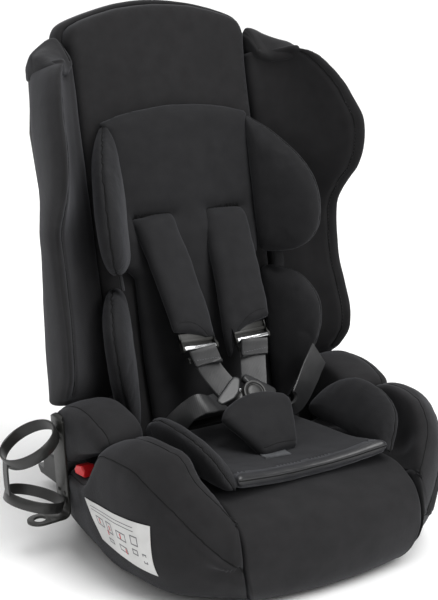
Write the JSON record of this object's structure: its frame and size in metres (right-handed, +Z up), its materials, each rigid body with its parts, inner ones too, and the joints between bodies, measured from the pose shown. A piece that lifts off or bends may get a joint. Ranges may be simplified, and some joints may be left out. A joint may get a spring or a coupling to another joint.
{
  "type": "convertible child car seat",
  "caption": "Black fabric child car seat with high winged backrest, padded inlay and bolsters, harness with crotch pad, rigid lower connectors and a clip-on cup holder.",
  "frame": {"origin": "middle of the base's flat underside", "axes": "+Z up, -Y the way the child faces, +X towards the child's left"},
  "size_m": [0.5221, 0.504, 0.6587],
  "materials": {
    "cover_fabric": "smooth knitted cover over foam, soft sheen",
    "inlay_fabric": "smooth knitted cover over foam, soft sheen",
    "webbing": "woven polyester webbing",
    "shell_plastic": "fine-textured moulded plastic",
    "dark_plastic": "satin moulded plastic",
    "black_steel": "satin black coating",
    "steel": "zinc plated",
    "chrome": "bright chrome",
    "red_plastic": "semi-gloss red",
    "sticker": "printed film"
  },
  "bodies": {
    "base": {"base_shell": "shell_plastic", "seat_cushion": "cover_fabric", "arm_cushion_left": "cover_fabric", "arm_cushion_right": "cover_fabric", "arm_knob_left": "cover_fabric", "arm_knob_right": "cover_fabric", "lap_belt_guide_left": "red_plastic", "lap_belt_guide_right": "red_plastic", "inlay_seat": "inlay_fabric", "hip_bolster_left": "inlay_fabric", "hip_bolster_right": "inlay_fabric", "hinge_pin_left": "steel", "hinge_pin_right": "steel", "side_sticker": "sticker", "crotch_pad": "inlay_fabric", "crotch_strap": "webbing", "crotch_anchor_plate": "steel", "buckle_housing": "dark_plastic", "buckle_tongue_left": "dark_plastic", "buckle_tongue_right": "dark_plastic", "lap_strap_left": "webbing", "lap_strap_right": "webbing"},
    "backrest": {"back_shell": "shell_plastic", "back_pad": "cover_fabric", "wing_shell_left": "shell_plastic", "wing_shell_right": "shell_plastic", "wing_pad_left": "cover_fabric", "wing_pad_right": "cover_fabric", "shoulder_belt_hook_left": "cover_fabric", "shoulder_belt_hook_right": "cover_fabric", "inlay_back": "inlay_fabric", "head_bolster_left": "inlay_fabric", "head_bolster_right": "inlay_fabric", "torso_bolster_left": "inlay_fabric", "torso_bolster_right": "inlay_fabric", "shoulder_strap_left": "webbing", "shoulder_strap_right": "webbing", "lower_strap_left": "webbing", "lower_strap_right": "webbing", "shoulder_pad_left": "inlay_fabric", "shoulder_pad_right": "inlay_fabric", "adjuster_frame_left": "black_steel", "adjuster_frame_right": "black_steel", "adjuster_bar_left": "chrome", "adjuster_bar_right": "chrome", "anchor_bar": "steel"},
    "buckle_release": {"buckle_button": "red_plastic"},
    "adjuster_left": {"adjuster_lever_left": "dark_plastic"},
    "adjuster_right": {"adjuster_lever_right": "dark_plastic"},
    "connector_left": {"isofix_arm_left": "steel", "isofix_housing_left": "dark_plastic"},
    "connector_right": {"isofix_arm_right": "steel", "isofix_housing_right": "dark_plastic"},
    "hook_left": {"isofix_hook_left": "steel"},
    "hook_right": {"isofix_hook_right": "steel"},
    "latch_left": {"isofix_button_left": "red_plastic"},
    "latch_right": {"isofix_button_right": "red_plastic"},
    "cup_holder": {"cup_holder_bracket": "black_steel", "cup_holder_cage": "dark_plastic"}
  },
  "joints": [
    {"name": "backrest_recline", "type": "hinge", "parent": "base", "child": "backrest", "pos_m": [0, 0.08, 0.115], "axis": [-1, 0, 0], "range_deg": [0, 12]},
    {"name": "buckle_button_press", "type": "slide", "parent": "base", "child": "buckle_release", "axis": [0, 0.788, -0.6157], "range_m": [0, 0.0035], "stiffness_N_per_m": 1500, "springref_m": -0.002},
    {"name": "adjuster_lever_left", "type": "hinge", "parent": "backrest", "child": "adjuster_left", "pos_m": [0.03788, 0.00306, 0.23201], "axis": [-0.9959, 0.0363, 0.0823], "range_deg": [0, 40], "stiffness_Nm_per_rad": 0.02, "springref_deg": -17.19},
    {"name": "adjuster_lever_right", "type": "hinge", "parent": "backrest", "child": "adjuster_right", "pos_m": [-0.03788, 0.00306, 0.23201], "axis": [-0.9959, -0.0363, -0.0823], "range_deg": [0, 40], "stiffness_Nm_per_rad": 0.02, "springref_deg": -17.19},
    {"name": "connector_slide_left", "type": "slide", "parent": "base", "child": "connector_left", "axis": [0, 1, 0], "range_m": [-0.07, 0]},
    {"name": "connector_slide_right", "type": "slide", "parent": "base", "child": "connector_right", "axis": [0, 1, 0], "range_m": [-0.07, 0]},
    {"name": "latch_press_left", "type": "slide", "parent": "connector_left", "child": "latch_left", "axis": [0, 0, -1], "range_m": [0, 0.005], "stiffness_N_per_m": 800, "springref_m": -0.003},
    {"name": "latch_press_right", "type": "slide", "parent": "connector_right", "child": "latch_right", "axis": [0, 0, -1], "range_m": [0, 0.005], "stiffness_N_per_m": 800, "springref_m": -0.003},
    {"name": "hook_turn_left", "type": "hinge", "parent": "connector_left", "child": "hook_left", "pos_m": [0.14, 0.222, 0.047], "axis": [1, 0, 0], "range_deg": [0, 35]},
    {"name": "hook_turn_right", "type": "hinge", "parent": "connector_right", "child": "hook_right", "pos_m": [-0.14, 0.222, 0.047], "axis": [1, 0, 0], "range_deg": [0, 35]},
    {"name": "cup_holder_lift", "type": "slide", "parent": "base", "child": "cup_holder", "axis": [-0.0523, 0, 0.9986], "range_m": [0, 0.03]}
  ],
  "couplings": [
    {"joint": "hook_turn_left", "follows": "latch_press_left", "rad_per_m": 122},
    {"joint": "hook_turn_right", "follows": "latch_press_right", "rad_per_m": 122}
  ]
}
